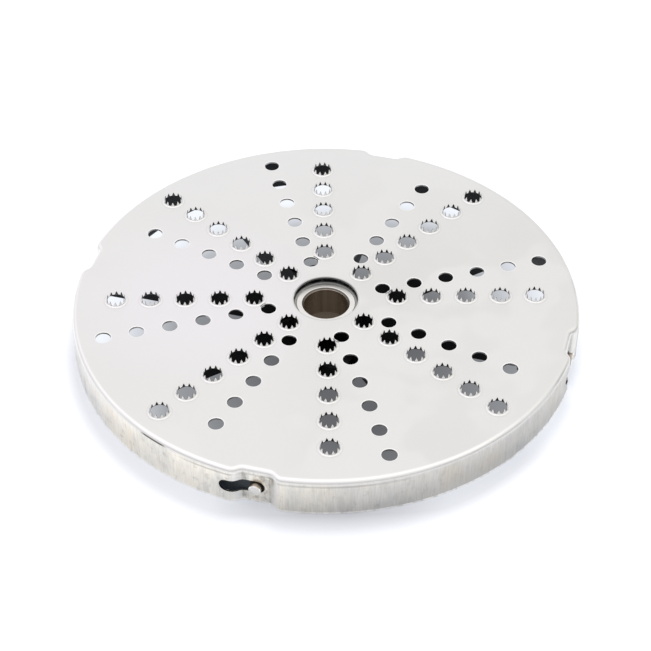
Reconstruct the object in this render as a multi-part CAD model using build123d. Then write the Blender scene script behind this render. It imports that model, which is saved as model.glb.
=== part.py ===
from build123d import *
from math import cos, radians, sin, tan
import os

# Shredding disc of a continuous-feed vegetable cutter: a pressed stainless pan with raised
# tooth crowns, locked on a moulded hub wheel by a four-pin bayonet.
# Millimetres. Z is the axis of the disc, and the rim of the pan stands on z = 0.

# Pan
disc_d = 205.0
rim_h = 17.0
sheet = 0.8
bend_r = 2.0
centre_hole_d = 26.0
quadrants = 4

# Tooth crowns: the sheet is slit in a star and its petals are bent up
tooth_count = 10
crown_root_d = 8.2
crown_lean = 16.0
crown_wall = 0.4
tooth_h = 2.1
slit_lift = 0.5
slit_w = 0.6
toothed_pitch = 14.0
axis_row_first_r = 28.9
axis_row_count = 5
diagonal_row_first_r = 21.1
diagonal_row_count = 6
diagonal_row_turn = -45.0

# Plain holes between the toothed rows
plain_hole_d = 6.0
plain_pitch = 13.5
long_plain_first_r = 23.9
long_plain_count = 6
long_plain_turn = 14.0
short_plain_first_r = 29.05
short_plain_count = 5
short_plain_turn = 59.0

# Bayonet: recesses pressed into the rim, each with a slot for a pin of the hub
lock_angle = 73.9
twist = 6.0
recess_turn = 0.1
recess_depth = 2.8
recess_floor_w = 11.0
recess_lean = 52.0
shoulder_extra_r = 3.0
recess_foot_r = 3.0
slot_h = 5.8
slot_drop = 9.0
slot_spare_turn = 0.3

# Locking pins
pin_d = 4.8
pin_l = 18.0
pin_reach = 2.3
pin_chamfer = 0.4
pin_fit = 0.05

# Hub wheel
spoke_count = 8
spoke_w = 6.0
ring_w = 2.6
pin_block_w = 10.0
sleeve_wall = 5.0
hub_lift = 1.5
sleeve_lift = 1.0
seat_gap = 0.3
top_recess_wall = 3.0

# Bush and drive
bush_d = 24.0
bush_drop = 2.4
bore_d = 18.0
bore_chamfer = 0.8
bush_fit = 0.05
drive_slot_w = 6.2
drive_slot_h = 5.0
drive_boss_w = 15.0
drive_boss_r = 24.5
drive_boss_h = 8.0

# Sizes that follow
disc_r = disc_d / 2
plate_under = rim_h - sheet
quarter = 360 / quadrants
tooth_turn = 360 / tooth_count
root_r = crown_root_d / 2
root_apothem = root_r * cos(radians(tooth_turn / 2))
tip_apothem = root_apothem - tooth_h * tan(radians(crown_lean))
crown_bore_r = (root_apothem - crown_wall) / cos(radians(tooth_turn / 2))
recess_r = disc_r - recess_depth
recess_inner_r = recess_r - sheet
slot_z = rim_h - slot_drop
slot_turn = twist + 2 * slot_spare_turn
pin_tip_r = recess_r + pin_reach
hub_top = plate_under - seat_gap
ring_r = recess_inner_r - seat_gap
bush_top = rim_h - bush_drop
sleeve_r = bush_d / 2 + sleeve_wall
boss_angle = lock_angle + 180 / spoke_count
drive_angle = boss_angle + 90
through = 2 * rim_h


def polar(r, turn):
    """Point at radius r and an angle in degrees."""
    return (r * cos(radians(turn)), r * sin(radians(turn)))


def ring_of(turn, part):
    """Copies of a part, one in each quadrant, starting at an angle in degrees."""
    return [Rot(0, 0, turn + quarter * k) * part for k in range(quadrants)]


def row(turn, first_r, pitch, count):
    """Centres of a straight row of holes along a radius."""
    return [polar(first_r + pitch * k, turn) for k in range(count)]


def slab(sketch, low, high):
    """A sketch made solid between two heights."""
    return extrude(Pos(0, 0, low) * sketch, high - low)


def pan_plan(inset):
    """Plan of the pan, a disc with four dents, drawn inside its outer outline by an inset."""
    mouth_w = recess_floor_w + 4 * recess_depth * tan(radians(recess_lean))
    dent = Polygon(
        (recess_r, -recess_floor_w / 2),
        (recess_r + 2 * recess_depth, -mouth_w / 2),
        (recess_r + 2 * recess_depth, mouth_w / 2),
        (recess_r, recess_floor_w / 2),
        align=None,
    )
    if inset:
        dent = offset(dent, inset, kind=Kind.INTERSECTION)
    plan = Rot(0, 0, lock_angle) * Circle(disc_r - inset) - ring_of(lock_angle + recess_turn, dent)
    shoulders = plan.vertices().filter_by(lambda v: abs(v.center().length - disc_r + inset) < 1e-3)
    plan = fillet(shoulders, bend_r + shoulder_extra_r - inset)
    middle_r = disc_r - inset - recess_depth / 2
    feet = plan.vertices().filter_by(lambda v: v.center().length < middle_r)
    return fillet(feet, recess_foot_r + inset)


def pan_block(inset, height):
    """The pan's outline made solid, with the bend rolled along its top edge."""
    block = extrude(pan_plan(inset), height)
    return fillet(block.faces().sort_by(Axis.Z)[-1].edges(), bend_r - inset)


def crown_outline(r):
    """A polygon with one corner at each slit."""
    return Polygon(*[polar(r, tooth_turn * k) for k in range(tooth_count)], align=None)


def tooth_crown():
    """One crown: a leaning collar of flat petals, cut to points by a notch at every slit."""
    spread = 1.5
    foot = Pos(0, 0, rim_h)
    collar = extrude(foot * crown_outline(root_r), tooth_h, taper=crown_lean)
    collar -= extrude(foot * crown_outline(crown_bore_r), tooth_h, taper=crown_lean)
    half_tip = tip_apothem * sin(radians(tooth_turn / 2))
    half_slit = slit_w / 2
    half_top = half_slit + spread * (half_tip - half_slit)
    top = spread * (tooth_h - slit_lift)
    gap = Polygon((-half_slit, 0), (half_slit, 0), (half_top, top), (-half_top, top), align=None)
    notch = Pos(0, 0, rim_h + slit_lift) * extrude(Plane.YZ * gap, crown_root_d)
    return collar - [Rot(0, 0, tooth_turn * k) * notch for k in range(tooth_count)]


def toothed_places():
    """Place of every crown. The crowns of a quadrant share one turn."""
    own = row(0, axis_row_first_r, toothed_pitch, axis_row_count)
    own += row(diagonal_row_turn, diagonal_row_first_r, toothed_pitch, diagonal_row_count)
    return [Rot(0, 0, quarter * k) * Pos(x, y) for k in range(quadrants) for x, y in own]


def plain_places():
    """Place of every plain hole."""
    own = row(long_plain_turn, long_plain_first_r, plain_pitch, long_plain_count)
    own += row(short_plain_turn, short_plain_first_r, plain_pitch, short_plain_count)
    return [Rot(0, 0, quarter * k) * Pos(x, y) for k in range(quadrants) for x, y in own]


def bayonet_slot():
    """Cutter for one pin slot, lying along +X at the pin's place when the disc is locked."""
    run = 2 * recess_r * sin(radians(slot_turn / 2))
    face = Plane.YZ * SlotCenterToCenter(run, slot_h)
    cutter = Pos(recess_inner_r - slot_h, 0, slot_z) * extrude(face, recess_depth + 3 * slot_h)
    return Rot(0, 0, slot_spare_turn - slot_turn / 2) * cutter


def shredding_plate():
    """The pressed pan with its holes, crowns, recesses and slots."""
    pan = pan_block(0, rim_h) - pan_block(sheet, plate_under)
    drills = [place * slab(Circle(plain_hole_d / 2), 0, through) for place in plain_places()]
    seats = [place * slab(crown_outline(crown_bore_r), plate_under, rim_h) for place in toothed_places()]
    pan -= drills + seats
    pan -= slab(Circle(centre_hole_d / 2), 0, through)
    pan -= ring_of(lock_angle, bayonet_slot())
    crown = tooth_crown()
    return pan + [place * crown for place in toothed_places()]


def spoke_bars():
    """Radial bars of the wheel in plan, one for each spoke."""
    bar = Pos(ring_r / 2, 0) * Rectangle(ring_r, spoke_w)
    return [Rot(0, 0, lock_angle + 360 / spoke_count * k) * bar for k in range(spoke_count)]


def hub_wheel():
    """The moulded wheel: a sleeve, eight upright spokes, and a ring that fits inside the recesses."""
    rim = Circle(ring_r)
    block = Pos(ring_r - pin_l / 2, 0) * Rectangle(pin_l, pin_block_w)
    plan = (rim - Circle(ring_r - ring_w)) + spoke_bars() + ring_of(lock_angle, block)
    wheel = slab(plan & rim, hub_lift, hub_top)
    wheel += slab(Circle(sleeve_r), sleeve_lift, hub_top)
    bosses = Rot(0, 0, boss_angle) * SlotCenterToCenter(2 * drive_boss_r, drive_boss_w)
    wheel += slab(bosses, hub_lift, drive_boss_h)
    edge = wheel.edges().filter_by(GeomType.CIRCLE).group_by(Axis.Z)[-1].sort_by(SortBy.RADIUS)[-1]
    wheel = chamfer(edge, bend_r - sheet)
    wheel -= slab(Circle(bush_d / 2 + bush_fit), 0, through)
    wheel -= slab(Circle(bush_d / 2 + top_recess_wall), bush_top, through)
    wheel -= drive_slot()
    hole = Pos(0, 0, slot_z) * extrude(Plane.YZ * Circle(pin_d / 2 + pin_fit), disc_r)
    floor_r = pin_tip_r - pin_l
    return wheel - ring_of(lock_angle, Pos(floor_r, 0, 0) * hole)


def drive_slot():
    """Cutter for the slot in the sleeve's lower end, between the bosses, for the shaft's cross pin."""
    bar = Rot(0, 0, drive_angle) * Rectangle(2 * sleeve_r + sleeve_wall, drive_slot_w)
    return slab(bar, 0, sleeve_lift + drive_slot_h)


def hub_bush():
    """The metal bush in the sleeve, with a lead-in at both ends of its bore."""
    bush = slab(Circle(bush_d / 2) - Circle(bore_d / 2), sleeve_lift, bush_top)
    bore_edges = bush.edges().filter_by(GeomType.CIRCLE).filter_by(lambda e: e.radius < bush_d / 2)
    return chamfer(bore_edges, bore_chamfer) - drive_slot()


def locking_pin():
    """One pin along +X, pressed into the wheel and chamfered at its tip."""
    pin = extrude(Plane.YZ * Circle(pin_d / 2), pin_l)
    pin = chamfer(pin.faces().sort_by(Axis.X)[-1].edges(), pin_chamfer)
    return Pos(pin_tip_r - pin_l, 0, slot_z) * pin


def main():
    os.makedirs("parts", exist_ok=True)
    nodes = {
        "shredding_plate": shredding_plate(),
        "hub_wheel": hub_wheel(),
        "hub_bush": hub_bush(),
    }
    for k, pin in enumerate(ring_of(lock_angle, locking_pin())):
        nodes[f"locking_pin_{k + 1}"] = pin
    for name, part in nodes.items():
        export_step(part, f"parts/{name}.step")


main()
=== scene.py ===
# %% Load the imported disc
import bmesh
import bpy
import numpy as np
from mathutils import Matrix, Vector
from mathutils.geometry import delaunay_2d_cdt


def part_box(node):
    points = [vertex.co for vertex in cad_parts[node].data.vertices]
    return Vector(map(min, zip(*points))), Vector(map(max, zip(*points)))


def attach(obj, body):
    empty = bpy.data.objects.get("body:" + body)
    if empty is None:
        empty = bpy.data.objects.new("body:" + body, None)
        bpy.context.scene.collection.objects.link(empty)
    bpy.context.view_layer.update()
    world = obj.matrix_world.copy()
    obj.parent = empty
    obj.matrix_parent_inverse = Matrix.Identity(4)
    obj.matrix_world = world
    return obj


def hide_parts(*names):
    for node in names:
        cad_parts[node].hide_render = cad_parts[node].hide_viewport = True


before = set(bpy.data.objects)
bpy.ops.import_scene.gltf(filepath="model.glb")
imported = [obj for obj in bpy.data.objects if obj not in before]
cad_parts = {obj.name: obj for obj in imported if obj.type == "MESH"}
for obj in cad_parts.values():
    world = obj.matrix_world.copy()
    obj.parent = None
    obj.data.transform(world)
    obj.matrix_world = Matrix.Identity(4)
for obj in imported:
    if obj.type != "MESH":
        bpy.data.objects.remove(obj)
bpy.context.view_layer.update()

# %% [markdown]
# # A shredding disc, from sheet to studio
# The disc is a pressed stainless pan that stands on its rim. Ten-toothed crowns are raised from its top,
# plain holes lie between them, and four pressed recesses hold the pins of a black hub wheel. The packed
# solids give the places and sizes. This lesson makes the pan again as smooth surfaces, because a polished
# sheet shows every flat facet in its reflections, and then gives each piece a finish.
#
# Surfaces and camera are drawn in millimetres and scaled once. Finishes, floor and lamp are in metres.

# %% Sizes of the pan
MM = 0.001
DISC_R = 102.5
RIM_H = 17.0
SHEET = 0.8
BEND_R = 2.0
CENTRE_HOLE_R = 13.0
LOCK_TURN = 73.9
QUARTERS = (0.0, 90.0, 180.0, 270.0)
UNDER_Z = RIM_H - SHEET

plate_low, plate_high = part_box("shredding_plate")
print("packed pan is", [round(v, 4) for v in plate_high - plate_low], "m; drawn radius", DISC_R * MM)

# %% [markdown]
# ## Small tools for surfaces on a grid
# A surface here is a grid of points, one row for each step along a profile and one column for each step
# round a path. It could be drawn with spin and extrude tools, but whole arrays keep every size visible in
# the code. The faces of such a grid follow from the row and column numbers alone. Each point also carries
# a shade for the finish: above zero for a painted highlight, below zero for painted shade.

# %% Grid tools
WELD = 2e-7
SHARP_TURN = 35.0


def turn(points, degrees):
    """Rotate 2-D or 3-D points about Z: the usual rotation matrix times x and y, with z kept."""
    angle = np.radians(degrees)
    spun = points.copy()
    spun[..., 0] = np.cos(angle) * points[..., 0] - np.sin(angle) * points[..., 1]
    spun[..., 1] = np.sin(angle) * points[..., 0] + np.cos(angle) * points[..., 1]
    return spun


def ring_faces(rows, columns, flip=False):
    """Quads of a grid whose columns close: corner (i, j) joins (i+1, j), (i+1, j+1) and (i, j+1)."""
    i, j = np.meshgrid(np.arange(rows - 1), np.arange(columns), indexing="ij")
    k = (j + 1) % columns
    quads = np.stack([i * columns + j, (i + 1) * columns + j, (i + 1) * columns + k, i * columns + k], -1)
    quads = quads.reshape(-1, 4)
    return quads[:, ::-1] if flip else quads


def lathe(profile, steps):
    """Turn (radius, height) pairs about Z: r * cos, r * sin and z at evenly spaced angles."""
    around = np.linspace(0, 2 * np.pi, steps, endpoint=False)
    r, z = profile[:, :1], profile[:, 1:]
    points = np.stack([r * np.cos(around), r * np.sin(around), z + 0 * around], -1)
    return points, ring_faces(len(profile), steps, flip=True), around


def gather(parts):
    """Join (points, faces, shade) parts in one array each, with the face numbers moved along."""
    starts = np.cumsum([0] + [len(points) for points, _, _ in parts[:-1]])
    faces = [face for start, (_, own, _) in zip(starts, parts) for face in (own + start).tolist()]
    shades = [np.zeros(len(points)) + shade for points, _, shade in parts]
    return np.vstack([points for points, _, _ in parts]), faces, np.concatenate(shades)


def smooth_edges(mesh):
    """Shade a mesh smooth, with a sharp edge wherever two faces meet at more than one set angle."""
    mesh.shade_smooth()
    mesh.set_sharp_from_angle(angle=np.radians(SHARP_TURN))


def make_piece(name, points, faces, shade=None):
    """A mesh object in metres, its seams welded, its edges smoothed, its shade kept per point."""
    mesh = bpy.data.meshes.new(name)
    mesh.from_pydata((points * MM).tolist(), [], faces)
    if shade is not None:
        mesh.attributes.new("shade", "FLOAT", "POINT").data.foreach_set("value", shade)
    work = bmesh.new()
    work.from_mesh(mesh)
    bmesh.ops.remove_doubles(work, verts=work.verts, dist=WELD)
    open_edges = sum(1 for edge in work.edges if not edge.is_manifold)
    work.to_mesh(mesh)
    work.free()
    smooth_edges(mesh)
    piece = bpy.data.objects.new(name, mesh)
    bpy.context.scene.collection.objects.link(piece)
    print(name, "faces", len(mesh.polygons), "open edges", open_edges)
    return piece


print("a grid of 3 rows and 8 columns has", len(ring_faces(3, 8)), "quads")

# %% [markdown]
# ## The outline of the pan
# Seen from above, the rim is a circle with four dents, the bayonet recesses. Each dent has a flat floor,
# two leaning ramps and rounded corners, so the outline is a chain of lines and arcs that meet without a
# kink. A spline through a few points would be shorter, but its corners would not have true radii.

# %% Outline of the rim
RECESS_R = 99.7
RECESS_FLOOR = 11.0
RECESS_LEAN = 52.0
RECESS_TURN = 0.1
SHOULDER_R = 5.0
FOOT_R = 3.0
FLOOR_STEPS, FOOT_STEPS, RAMP_STEPS, SHOULDER_STEPS, LONG_STEPS = 5, 7, 4, 9, 108


def arc(centre, radius, start, end, steps, side):
    """Points centre + radius * (cos, sin) between two angles, with normals pointing out (1) or in (-1)."""
    angles = np.radians(np.linspace(start, end, steps, endpoint=False))
    rays = np.stack([np.cos(angles), np.sin(angles)], -1)
    return np.asarray(centre) + radius * rays, side * rays


def straight(start, end, steps, normal):
    """Evenly spaced points from start towards end, all with one normal."""
    share = np.linspace(0, 1, steps, endpoint=False)[:, None]
    return start + share * (end - start), np.repeat(normal[None], steps, 0)


def half_recess():
    """From the middle of a recess floor along +Y, up its ramp and round its shoulder to the full circle."""
    lean = np.radians(RECESS_LEAN)
    up_ramp = np.array([np.cos(lean), np.sin(lean)])
    into_pan = np.array([-np.sin(lean), np.cos(lean)])
    corner = np.array([RECESS_R, RECESS_FLOOR / 2])
    foot_y = corner[1] - FOOT_R * (1 - np.sin(lean)) / np.cos(lean)
    foot = np.array([RECESS_R + FOOT_R, foot_y])
    base = corner + into_pan * SHOULDER_R
    reach = base @ up_ramp
    shoulder = base + up_ramp * (np.sqrt(reach**2 - base @ base + (DISC_R - SHOULDER_R) ** 2) - reach)
    end_turn = np.degrees(np.arctan2(shoulder[1], shoulder[0]))
    middle, floor_end = np.array([RECESS_R, 0.0]), np.array([RECESS_R, foot_y])
    floor = straight(middle, floor_end, FLOOR_STEPS, np.array([1.0, 0.0]))
    foot_arc = arc(foot, FOOT_R, 180, 90 + RECESS_LEAN, FOOT_STEPS, -1)
    ramp_end = shoulder - SHOULDER_R * into_pan
    ramp = straight(foot + FOOT_R * into_pan, ramp_end, RAMP_STEPS, -into_pan)
    shoulder_arc = arc(shoulder, SHOULDER_R, RECESS_LEAN - 90, end_turn, SHOULDER_STEPS, 1)
    chain = [floor, foot_arc, ramp, shoulder_arc]
    return np.vstack([p for p, _ in chain]), np.vstack([n for _, n in chain]), end_turn


def rim_outline():
    """The outline and its outward normals: half a recess, a long arc and a mirrored half, four times."""
    points, normals, end_turn = half_recess()
    long_arc = arc((0, 0), DISC_R, end_turn, 90 - end_turn, LONG_STEPS, 1)
    end_point = arc((0, 0), DISC_R, 90 - end_turn, 90, 1, 1)
    mirror = np.array([1.0, -1.0])
    back = turn(points[:0:-1] * mirror, 90), turn(normals[:0:-1] * mirror, 90)
    quarter_points = np.vstack([points, long_arc[0], end_point[0], back[0]])
    quarter_normals = np.vstack([normals, long_arc[1], end_point[1], back[1]])
    turns = [LOCK_TURN + RECESS_TURN + q for q in QUARTERS]
    return (
        np.vstack([turn(quarter_points, t) for t in turns]),
        np.vstack([turn(quarter_normals, t) for t in turns]),
    )


outline, outward = rim_outline()
print("rim outline has", len(outline), "points")

# %% [markdown]
# ## Rim and bend
# The rim is one profile carried round the outline: the rolled bend, the wall, the cut foot and the same
# way back inside at the thickness of the sheet. Cutting left a burr at the foot, so the wall leans in by
# the burr's width on its way down and flares out again at the uneven foot. The profile says how far in
# from the outline a point lies and how high it is. A lathe could turn it, but not round the recesses.

# %% Rim surface
FLAT_INSET = 2.6
BEND_STEPS = 10
# Shade by angle round the bend: painted highlight on its upper half, painted shade below
BEND_SHINE = (0, 10, 20, 44, 58, 72, 84, 90), (0.0, 0.5, 1.0, 0.95, 0.15, -0.12, -0.12, 0.0)
WALL_ROWS = (12, 9, 6, 3, 1.6, 0.64)
BACK_ROWS = (3, 9)
BURR = 0.18
BURR_TOP = 0.17
FOOT_EDGE = 0.12
FOOT_ROUND = 0.05
FOOT_MEAN = 0.06
FOOT_WAVES = ((0.03, 9, 1), (0.02, 23, 0), (0.01, 51, 2))
FOOT_REACH = 1.2


def rim_profile():
    """Pairs (inset, height) from the flat top over the bend, down the wall, round the foot and up inside.

    Each pair has a shade: a painted highlight on the upper half of the bend, painted shade just below it.
    """
    bend = np.radians(np.linspace(0, 90, BEND_STEPS))
    centre_z = RIM_H - BEND_R
    outer = np.stack([BEND_R - BEND_R * np.sin(bend), centre_z + BEND_R * np.cos(bend)], -1)
    inner_r = BEND_R - SHEET
    inner = np.stack([BEND_R - inner_r * np.sin(bend[::-1]), centre_z + inner_r * np.cos(bend[::-1])], -1)
    wall = [(BURR * (1 - z / centre_z), z) for z in WALL_ROWS]
    foot = [(0, BURR_TOP), (FOOT_EDGE / 2, FOOT_ROUND), (2 * FOOT_EDGE, 0), (SHEET - 2 * FOOT_EDGE, 0)]
    foot += [(SHEET - FOOT_EDGE / 2, FOOT_EDGE / 2)]
    back = [(SHEET, z) for z in (2 * FOOT_EDGE, *BACK_ROWS)]
    flat_top, flat_under = [(FLAT_INSET, RIM_H)], [(FLAT_INSET, UNDER_Z)]
    rolled = np.interp(bend, np.radians(BEND_SHINE[0]), BEND_SHINE[1])
    rest = len(wall) + len(foot) + len(back) + len(inner) + len(flat_under)
    shade = np.concatenate([[0.0], rolled, np.zeros(rest)])
    return np.vstack([flat_top, outer, wall, foot, back, inner, flat_under]), shade


def rim_surface():
    """Grid of outline minus inset times normal; waves lift the foot by up to 0.12 millimetres."""
    profile, shade = rim_profile()
    inset, height = profile[:, :1], profile[:, 1:]
    around = np.arctan2(outline[:, 1], outline[:, 0])
    uneven = np.full(len(around), FOOT_MEAN)
    for size, count, start in FOOT_WAVES:
        uneven = uneven + size * np.sin(count * around + start)
    rise = uneven * np.clip(1 - height / FOOT_REACH, 0, 1)
    x = outline[:, 0] - inset * outward[:, 0]
    y = outline[:, 1] - inset * outward[:, 1]
    points = np.stack([x, y, height + rise], -1)
    return points.reshape(-1, 3), ring_faces(len(profile), len(outline)), np.repeat(shade, len(outline))


rim = rim_surface()
print("rim grid has", len(rim[0]), "points")

# %% [markdown]
# ## Tooth crowns
# A star of slits is cut in the sheet and its ten petals are bent up, so the top of the sheet becomes the
# outside of the crown. The same idea makes the surface: a section through the bent sheet is followed from
# the flat plate round the bend and up the leaning petal, and cut short at a length that swings between the
# slits and the tips. Every column has its own length and shares it out over the same number of rows, so
# the grid never folds up. The sheet thins as it is drawn up. Its top gets a painted highlight, its under
# side painted shade, and a faint ring of painted shadow lies round its foot.

# %% One crown
TEETH = 10
CROWN_START_R = 4.55
CROWN_BEND_R = 0.75
CROWN_STAND = np.radians(86.0)
SLIT_STAND = np.radians(65.0)
TOOTH_TOP = 2.1
CROWN_FLAT_R = 5.3
CROWN_HALO_R = 4.95
DRAWN_WALL = np.array([0.45, 0.28])
TOOTH_STEPS = np.array([0.0, 0.44, 0.60, 0.81, 1.0, 1.19, 1.40, 1.56])
SLIT_SHARE = 0.44
TOOTH_HOLLOW = 0.85
TOP_SHARES = np.array([0.0, 0.09, 0.18, 0.28, 0.38, 0.5, 0.68, 0.85, 1.0])
UNDER_SHARES = np.array([1.0, 0.66, 0.36, 0.18, 0.0])
# Painted highlight on the top of the petals, by share of their length
CROWN_SHINE = (0, 0.15, 0.3, 1), (0.0, 0.4, 1.0, 0.9)
# Painted shade: a faint ring round the crown's foot and the under side of the petals
HALO_SHADE, UNDER_SHADE = -0.08, -1.0


def petal(lengths, depth):
    """Section of the bent sheet at a depth under its top: radius and height where each length ends.

    A length runs along the top from the start of the bend: first an arc about the bend's centre up to the
    angle at which the petal stands, then a straight line on.
    """
    angle = np.minimum(lengths / CROWN_BEND_R, CROWN_STAND)
    straight_on = np.maximum(lengths - CROWN_BEND_R * CROWN_STAND, 0)
    r = CROWN_START_R - (CROWN_BEND_R + depth) * np.sin(angle) - straight_on * np.cos(CROWN_STAND)
    z = RIM_H + CROWN_BEND_R - (CROWN_BEND_R + depth) * np.cos(angle) + straight_on * np.sin(CROWN_STAND)
    return r, z


def petal_lengths():
    """Length of the sheet at each column: shortest over a slit, longest at a tip, hollow in between."""
    slit = CROWN_BEND_R * SLIT_STAND
    bend_rise = CROWN_BEND_R * (1 - np.cos(CROWN_STAND))
    tip = CROWN_BEND_R * CROWN_STAND + (TOOTH_TOP - bend_rise) / np.sin(CROWN_STAND)
    share = 1 - np.abs(TOOTH_STEPS - 1)
    shape = np.clip((share - SLIT_SHARE) / (1 - SLIT_SHARE), 0, 1) ** TOOTH_HOLLOW
    return np.tile(slit + (tip - slit) * shape, TEETH)


def crown_surface():
    """Rows from the plate over the top of the sheet to the cut edge, and back along its under side."""
    cut = petal_lengths()
    pitches = np.arange(TEETH)[:, None] + TOOTH_STEPS / 2
    angle = pitches.ravel() * 2 * np.pi / TEETH
    top_r, top_z = petal(TOP_SHARES[:, None] * cut, 0.0)
    wall = np.interp(UNDER_SHARES, (0, 1), DRAWN_WALL)[:, None]
    low_r, low_z = petal(UNDER_SHARES[:, None] * cut, wall)
    flat = np.ones((1, len(angle)))
    r = np.vstack([flat * CROWN_FLAT_R, flat * CROWN_HALO_R, top_r, low_r, flat * CROWN_FLAT_R])
    z = np.vstack([flat * RIM_H, flat * RIM_H, top_z, low_z, flat * UNDER_Z])
    points = np.stack([r * np.cos(angle), r * np.sin(angle), z], -1)
    painted_light = np.interp(TOP_SHARES, *CROWN_SHINE)
    dimmed = np.full(len(UNDER_SHARES), UNDER_SHADE)
    rows = np.concatenate([[0.0, HALO_SHADE], painted_light, dimmed, [0.0]])
    return points, ring_faces(len(r), len(angle), flip=True), np.repeat(rows, len(angle))


crown_grid, crown_faces, crown_shade = crown_surface()
print("one crown has", len(crown_faces), "faces")

# %% [markdown]
# ## Plain holes and the centre hole
# Punched holes have a slightly rolled upper edge and a sharper lower one. A ring profile turned about the
# hole's axis gives both, and its outermost rows lie flat in the plate so that the flat sheet keeps exact
# normals. The edges of the plain holes get a painted highlight and their lower walls painted shade. The
# large centre hole has a rounder edge with painted shade, darkest at its back, where it would mirror the
# dark hub.

# %% Round holes
FLAT_SHARE, HALO_SHARE, ROUND_SHARE = 2.2, 1.6, 0.3
LOWER_EDGE = 0.05

# Positive shades are painted highlight, negative ones painted shade
# Radius, steps, roll of the upper edge, shade of each row, share of that shade at the front
PLAIN_HOLE = 3.0, 36, 0.28, (0.0, 0.5, 1.0, 1.0, 0.6, -0.5, 0.0), 1.0
CENTRE_HOLE = CENTRE_HOLE_R, 96, 0.5, (0.0, 0.0, -0.35, -0.75, -0.8, -0.8, 0.0), 0.2


def hole_surface(radius, steps, roll, painted_light, front):
    """A profile of (radius, height) turned about Z: flat, rolled edge, wall, lower edge and flat.

    Each row has a shade, which falls to a share of itself from the back of the hole to its front.
    """
    flat_r = radius + FLAT_SHARE * roll
    profile = np.array([
        (flat_r, RIM_H), (radius + HALO_SHARE * roll, RIM_H), (radius + roll, RIM_H),
        (radius + ROUND_SHARE * roll, RIM_H - ROUND_SHARE * roll), (radius, RIM_H - roll),
        (radius, UNDER_Z + LOWER_EDGE), (flat_r, UNDER_Z),
    ])
    points, faces, around = lathe(profile, steps)
    shade = np.array(painted_light)[:, None] * np.clip(np.sin(around), front, 1)
    return points, faces, shade.ravel()


plain_grid, plain_faces, plain_shade = hole_surface(*PLAIN_HOLE)
centre_grid, centre_faces, centre_shade = hole_surface(*CENTRE_HOLE)
print("one plain hole has", len(plain_faces), "faces")

# %% [markdown]
# ## Where the holes go
# The pattern repeats in four quarters. Each quarter has two toothed rows, one along its axis and one
# 45 degrees before it, and two plain rows between them. All crowns of a quarter were struck with the tool
# in one turn, so each crown is a turned copy.

# %% Hole pattern
TOOTHED_ROWS = ((0.0, 28.9, 14.0, 5), (-45.0, 21.1, 14.0, 6))
PLAIN_ROWS = ((14.0, 23.9, 13.5, 6), (59.0, 29.05, 13.5, 5))


def places(rows):
    """Hole centres (x, y, turn of the quarter) for rows given as angle, first radius, pitch and count."""
    found = []
    for quarter in QUARTERS:
        for angle, first, pitch, count in rows:
            radii = first + pitch * np.arange(count)
            heading = np.radians(angle + quarter)
            own = [radii * np.cos(heading), radii * np.sin(heading), np.full(count, quarter)]
            found.append(np.stack(own, -1))
    return np.vstack(found)


def put(grid, place):
    """A grid turned with its quarter and moved to a hole's centre."""
    return turn(grid, place[2]) + np.array([place[0], place[1], 0.0])


toothed = [put(crown_grid, p) for p in places(TOOTHED_ROWS)]
plain = [put(plain_grid, p) for p in places(PLAIN_ROWS)]
print("crowns", len(toothed), "plain holes", len(plain))

# %% [markdown]
# ## The flat sheet between the holes
# What is left is flat, so it only needs triangles between the outermost rows of the rim, crowns and holes.
# A constrained Delaunay fill makes them from those very points. Cutting 89 holes with modifiers would be
# slower and leave less even faces.

# %% Flat sheet
NO_SLOPE = 1e-30
SAME_POINT = 1e-7


def inside(points, polygon):
    """Even-odd test: count the polygon's edges that a ray along +X from each point crosses."""
    x, y = points[:, :1], points[:, 1:]
    start, end = polygon, np.roll(polygon, -1, 0)
    spans = (start[:, 1] > y) != (end[:, 1] > y)
    slope = (end[:, 0] - start[:, 0]) / (end[:, 1] - start[:, 1] + NO_SLOPE)
    return (spans & (x < start[:, 0] + slope * (y - start[:, 1]))).sum(1) % 2 == 1


def flat_sheet(outer, holes):
    """Triangles of the plane between an outer loop and hole loops, as 2-D points and face numbers."""
    loops = [outer] + holes
    starts = np.cumsum([0] + [len(loop) for loop in loops])
    edges = [
        (int(start + k), int(start + (k + 1) % len(loop)))
        for start, loop in zip(starts, loops) for k in range(len(loop))
    ]
    cloud = [Vector(p) for p in np.vstack(loops).tolist()]
    filled = delaunay_2d_cdt(cloud, edges, [], 0, SAME_POINT)
    points = np.array([tuple(v) for v in filled[0]])
    faces = np.array(filled[2])
    middle = points[faces].mean(1)
    keep = inside(middle, outer)
    for loop in holes:
        near = np.abs(middle - loop.mean(0)).max(1) < np.ptp(loop[:, 0])
        keep[near] &= ~inside(middle[near], loop)
    faces = faces[keep]
    a, b, c = (points[faces[:, k]] for k in range(3))
    area = (b[:, 0] - a[:, 0]) * (c[:, 1] - a[:, 1]) - (b[:, 1] - a[:, 1]) * (c[:, 0] - a[:, 0])
    faces[area < 0] = faces[area < 0, ::-1]
    return points, faces


def at_height(points, height):
    """2-D points lifted to one height."""
    return np.column_stack([points, np.full(len(points), height)])


hole_loops = [grid[0, :, :2] for grid in toothed + plain + [centre_grid]]
flat_points, flat_faces = flat_sheet(outline - FLAT_INSET * outward, hole_loops)
print("flat sheet has", len(flat_faces), "triangles on each side")

# %% [markdown]
# ## One pan from all surfaces
# The real pan is one sheet, so its surfaces become one mesh with welded seams. Edges stay open only in
# four places, where the flat collars of a crown and a plain hole overlap.

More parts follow.
